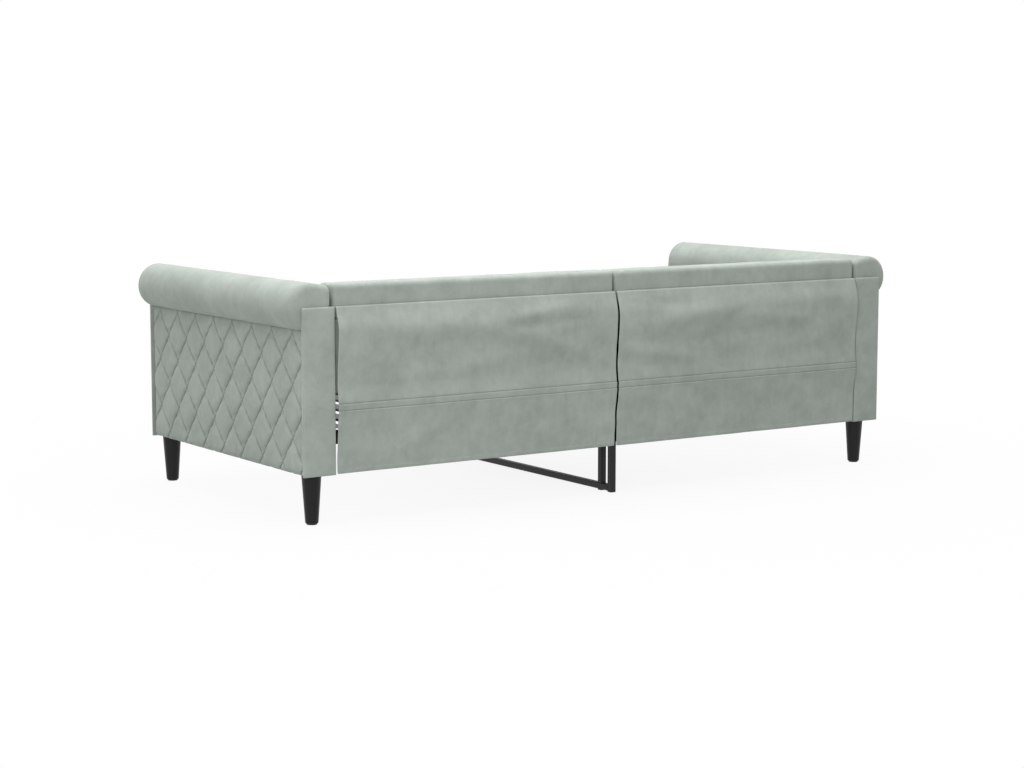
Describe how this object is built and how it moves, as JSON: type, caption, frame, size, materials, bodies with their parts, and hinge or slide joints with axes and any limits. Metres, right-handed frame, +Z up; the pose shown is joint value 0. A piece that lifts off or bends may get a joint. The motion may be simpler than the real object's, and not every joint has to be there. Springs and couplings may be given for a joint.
{
  "type": "daybed",
  "caption": "Upholstered daybed with rolled arms, diamond-quilted sides, a divided back with hanging rear covers, tapered legs and an open steel slat base for a single mattress.",
  "frame": {"origin": "on the floor, under the middle of the outline", "axes": "+Z up; the open front faces -Y and the back +Y; +X is the sitter's left, along the length"},
  "size_m": [2.298, 1.056, 0.708],
  "materials": {
    "velvet": "pale grey-green short-pile velvet over foam",
    "plywood": "bare plywood",
    "hardboard": "bent hardboard",
    "black_steel": "black powder coat",
    "leg_black": "satin black moulded plastic",
    "black_plastic": "matt black moulded plastic",
    "zinc_steel": "bright zinc plate"
  },
  "bodies": {
    "root": {"arm_catches": "zinc_steel", "arm_inserts": "zinc_steel", "back_bolts": "zinc_steel", "back_hooks": "zinc_steel", "base_bolts": "zinc_steel", "centre_floor_bar": "black_steel", "centre_front_leg": "black_steel", "centre_rear_leg": "black_steel", "centre_tall_post": "black_steel", "centre_top_bar": "black_steel", "left_arm_bottom_board": "plywood", "left_arm_bulkheads": "plywood", "left_arm_front_facing": "velvet", "left_arm_hook_block": "plywood", "left_arm_inner_pad": "velvet", "left_arm_inner_panel": "plywood", "left_arm_outer_pad": "velvet", "left_arm_outer_panel": "plywood", "left_arm_rear_panel": "velvet", "left_arm_roll": "velvet", "left_arm_roll_core": "hardboard", "left_back_boards": "plywood", "left_back_front_pad": "velvet", "left_back_rear_cover": "velvet", "left_back_top_roll": "velvet", "left_back_webs": "plywood", "left_centre_rail": "black_steel", "left_end_rail": "black_steel", "left_front_leg": "leg_black", "left_front_rail": "black_steel", "left_rear_leg": "leg_black", "left_rear_rail": "black_steel", "left_slats": "black_steel", "leg_bolts": "zinc_steel", "leg_glides": "black_plastic", "leg_nuts": "zinc_steel", "right_arm_bottom_board": "plywood", "right_arm_bulkheads": "plywood", "right_arm_front_facing": "velvet", "right_arm_hook_block": "plywood", "right_arm_inner_pad": "velvet", "right_arm_inner_panel": "plywood", "right_arm_outer_pad": "velvet", "right_arm_outer_panel": "plywood", "right_arm_rear_panel": "velvet", "right_arm_roll": "velvet", "right_arm_roll_core": "hardboard", "right_back_boards": "plywood", "right_back_front_pad": "velvet", "right_back_rear_cover": "velvet", "right_back_top_roll": "velvet", "right_back_webs": "plywood", "right_centre_rail": "black_steel", "right_end_rail": "black_steel", "right_front_leg": "leg_black", "right_front_rail": "black_steel", "right_rear_leg": "leg_black", "right_rear_rail": "black_steel", "right_slats": "black_steel", "tube_end_caps": "black_plastic"}
  },
  "joints": []
}
